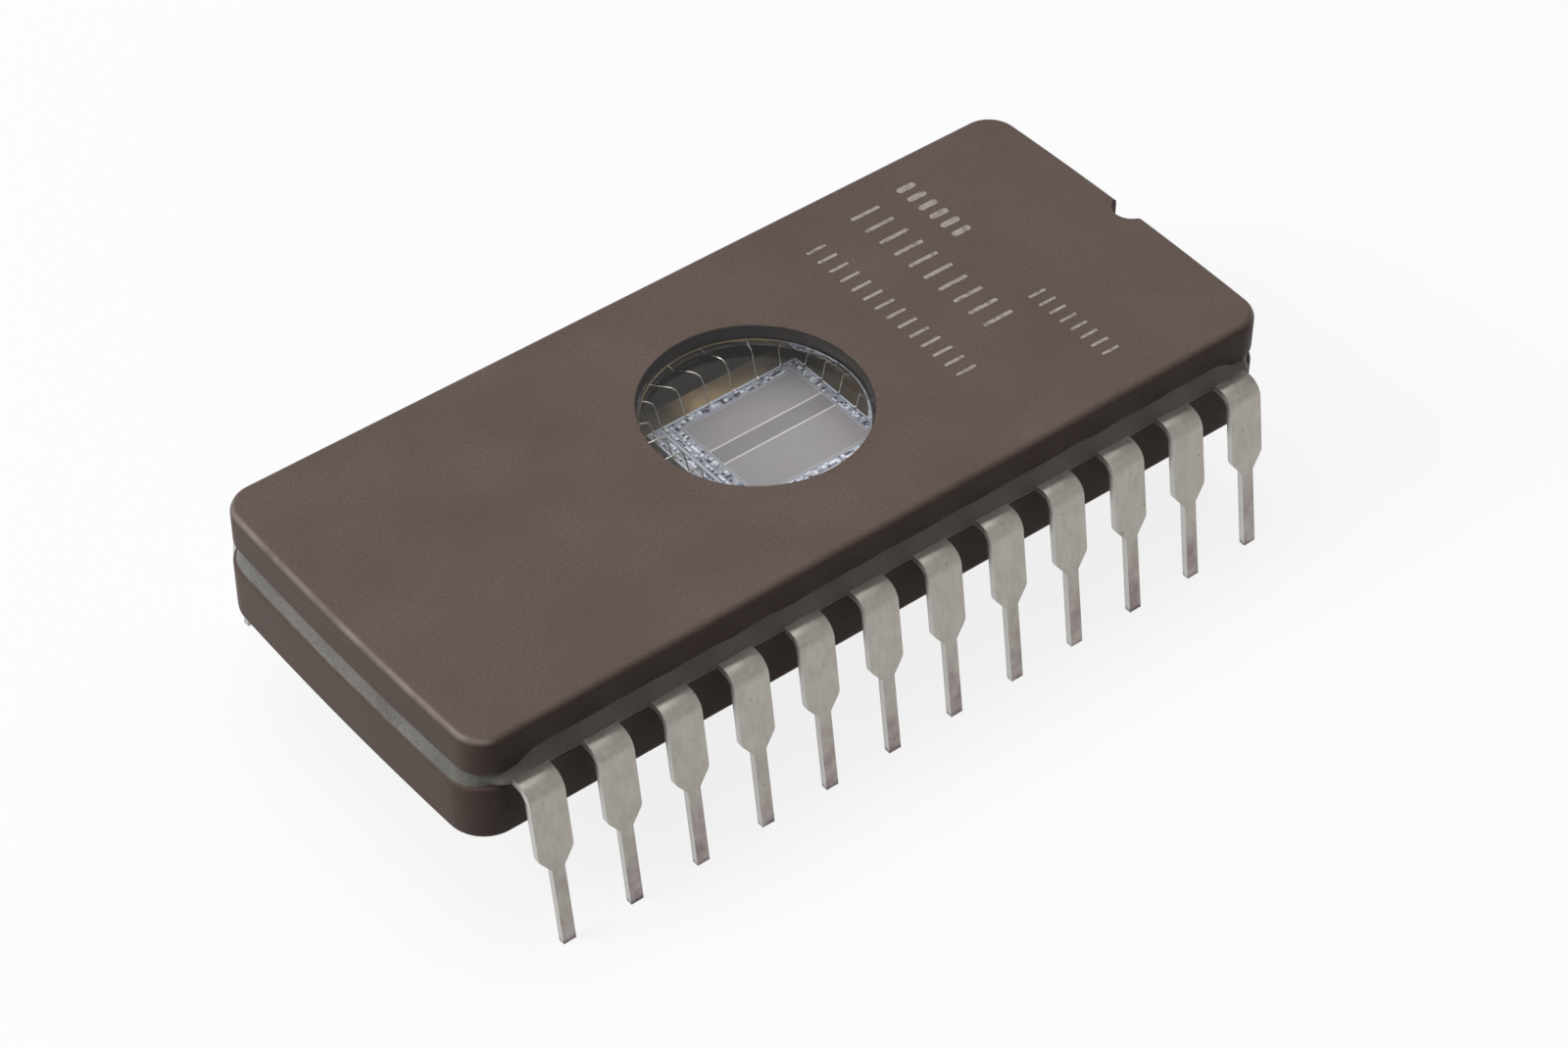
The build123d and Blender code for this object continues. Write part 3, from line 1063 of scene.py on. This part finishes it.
# The underside sags from the recess's ceiling to the flat middle along an arc
sag = ceiling - lens_low.z
run = LENS_RADIUS - FLAT_RADIUS
arc_radius = (sag * sag + run * run) / (2 * sag)
steps = 12
level = ceiling
for step in range(1, steps + 1):
    reach = run * (1 - step / steps)
    new_level = lens_low.z + arc_radius - math.sqrt(arc_radius**2 - reach**2)
    bpy.ops.mesh.inset(thickness=run / steps)
    bpy.ops.transform.translate(value=(0, 0, new_level - level))
    level = new_level
bpy.ops.mesh.select_all(action="SELECT")
bpy.ops.mesh.normals_make_consistent(inside=False)
finish(lens, window_glass, 60)
# Lamps reach the die through the glass, as they do through the real one
lens.visible_shadow = False
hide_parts("window_lens")


# Ink. The cap is stamped with pale marking ink, here plain upright bars that say nothing: rows of
# short strokes, thin and slightly broken where the ink didn't take.
marking_ink = new_material("stamped_grey_ink")
place = add(marking_ink, "TexCoord").outputs["Object"]
takes = add(marking_ink, "TexNoise", {"Vector": place, "Scale": 7000, "Detail": 3})
tone = add(
    marking_ink,
    "ValToRGB",
    {"Fac": takes.outputs["Fac"]},
    [(0.30, colour("#7A6E69")), (0.46, colour("#A39A95")), (0.70, colour("#B0A8A3"))],
)
shader = add(
    marking_ink,
    "BsdfPrincipled",
    {"Base Color": tone.outputs["Color"], "Roughness": 0.7, "Specular IOR Level": 0.25},
)
add(marking_ink, "OutputMaterial", {"Surface": shader.outputs[0]})

INK_DEPTH = 0.004  # the bars reach this far into the ceramic
# Each row: the bars' two ends along the package, the first and last bar across it, count, width
print_rows = [
    (10.25, 11.00, 5.35, 2.50, 6, 0.26),
    (8.10, 9.30, 5.15, -1.60, 10, 0.16),
    (5.85, 6.65, 4.70, -2.90, 14, 0.13),
    (10.15, 10.85, -1.45, -5.00, 8, 0.12),
]
bars = []
for foot_x, head_x, first_y, last_y, count, width in print_rows:
    for index in range(count):
        y = first_y + (last_y - first_y) * index / (count - 1)
        bar = box_blank(
            "ink_bar",
            Vector((foot_x, y - width / 2, cap_face - INK_DEPTH)),
            Vector((head_x, y + width / 2, cap_high.z)),
        )
        round_upright_edges(width * 0.45, 5)
        bpy.ops.object.mode_set(mode="OBJECT")
        bars.append(bar)
bpy.ops.object.select_all(action="DESELECT")
for bar in bars:
    bar.select_set(True)
ink = bars[0]
bpy.context.view_layer.objects.active = ink
bpy.ops.object.join()
ink.name = ink.data.name = "ink_bars"
finish(ink, marking_ink)


# Studio. A plain pale floor, a soft lamp from the left and above, a soft one overhead, and the
# camera where the photograph was taken from.
def seen_rays(backdrop, rays):
    """1 for what the camera sees, straight or in gloss or through glass, and 0 for other light."""
    mirrored = add(
        backdrop,
        "Math",
        {0: rays.outputs["Is Glossy Ray"], 1: rays.outputs["Is Transmission Ray"]},
        operation="MAXIMUM",
    )
    return add(
        backdrop,
        "Math",
        {0: rays.outputs["Is Camera Ray"], 1: mirrored.outputs[0]},
        operation="MAXIMUM",
    ).outputs[0]


paper = new_material("pale_floor_paper")
seen = seen_rays(paper, add(paper, "LightPath"))
paper_colour = add(
    paper,
    "Mix",
    {0: seen, 6: grey(0.10), 7: grey(0.95)},
    data_type="RGBA",
)
shaded = add(
    paper,
    "BsdfPrincipled",
    {"Base Color": paper_colour.outputs[2], "Roughness": 0.9, "Specular IOR Level": 0.0},
)
# To the eye the paper is nearly white by itself, and a small share of it takes the shadow
glow = add(paper, "Emission", {"Color": grey(1.0), "Strength": 1.0})
glow_share = add(paper, "Math", {0: seen, 1: 0.85}, operation="MULTIPLY")
shader = add(
    paper, "MixShader", {0: glow_share.outputs[0], 1: shaded.outputs[0], 2: glow.outputs[0]}
)
add(paper, "OutputMaterial", {"Surface": shader.outputs[0]})
bpy.ops.mesh.primitive_plane_add(size=1.2, location=(0, 0, 0))
floor = bpy.context.object
floor.name = "studio_floor"
floor.data.materials.append(paper)

world = bpy.data.worlds.new("studio_surround")
bpy.context.scene.world = world
world.use_nodes = True
world.node_tree.nodes.clear()
rays = add(world, "LightPath")
surround = add(
    world, "Mix", {0: seen_rays(world, rays), 6: grey(0.11), 7: grey(1.0)}, data_type="RGBA"
)
# What gloss shows of the room is dimmer between the paper and the lamps
height = add(world, "SeparateXYZ", {0: add(world, "TexCoord").outputs["Generated"]}).outputs["Z"]
room = add(
    world,
    "ValToRGB",
    {"Fac": height},
    [(0.00, grey(0.55)), (0.16, grey(0.55)), (0.42, grey(0.72))],
)
shown = add(
    world,
    "Mix",
    {0: rays.outputs["Is Glossy Ray"], 6: surround.outputs[2], 7: room.outputs["Color"]},
    data_type="RGBA",
)
backdrop = add(world, "Background", {"Color": shown.outputs[2], "Strength": 1.0})
add(world, "OutputWorld", {"Surface": backdrop.outputs[0]})


def soft_lamp(name, place, size, power):
    """A square lamp, turned to the package's middle."""
    lamp = bpy.data.lights.new(name, "AREA")
    lamp.shape = "SQUARE"
    lamp.size = size
    lamp.energy = power
    stand = bpy.data.objects.new(name, lamp)
    stand.location = place
    aim = Vector((0, 0, 0.006)) - Vector(place)
    stand.rotation_euler = aim.to_track_quat("-Z", "Y").to_euler()
    bpy.context.scene.collection.objects.link(stand)


soft_lamp("left_softbox", (-0.28, 0.12, 0.25), 0.18, 0.82)
soft_lamp("overhead_softbox", (0.02, 0.10, 0.40), 0.35, 0.92)

# The camera's values are fitted to the photograph from the leads' pitch and the package's edges
lens_view = bpy.data.cameras.new("photo_camera")
lens_view.sensor_width = 36
lens_view.lens = 95.606
lens_view.shift_x = -0.00082
lens_view.shift_y = -0.00622
lens_view.clip_start = 0.005
lens_view.clip_end = 10
camera = bpy.data.objects.new("photo_camera", lens_view)
camera.location = (-0.0606413, -0.0765503, 0.0953623)
camera.rotation_euler = [math.radians(turn) for turn in (46.5945, -0.3758, -38.5988)]
bpy.context.scene.collection.objects.link(camera)
bpy.context.scene.camera = camera
bpy.context.scene.view_settings.view_transform = "Standard"
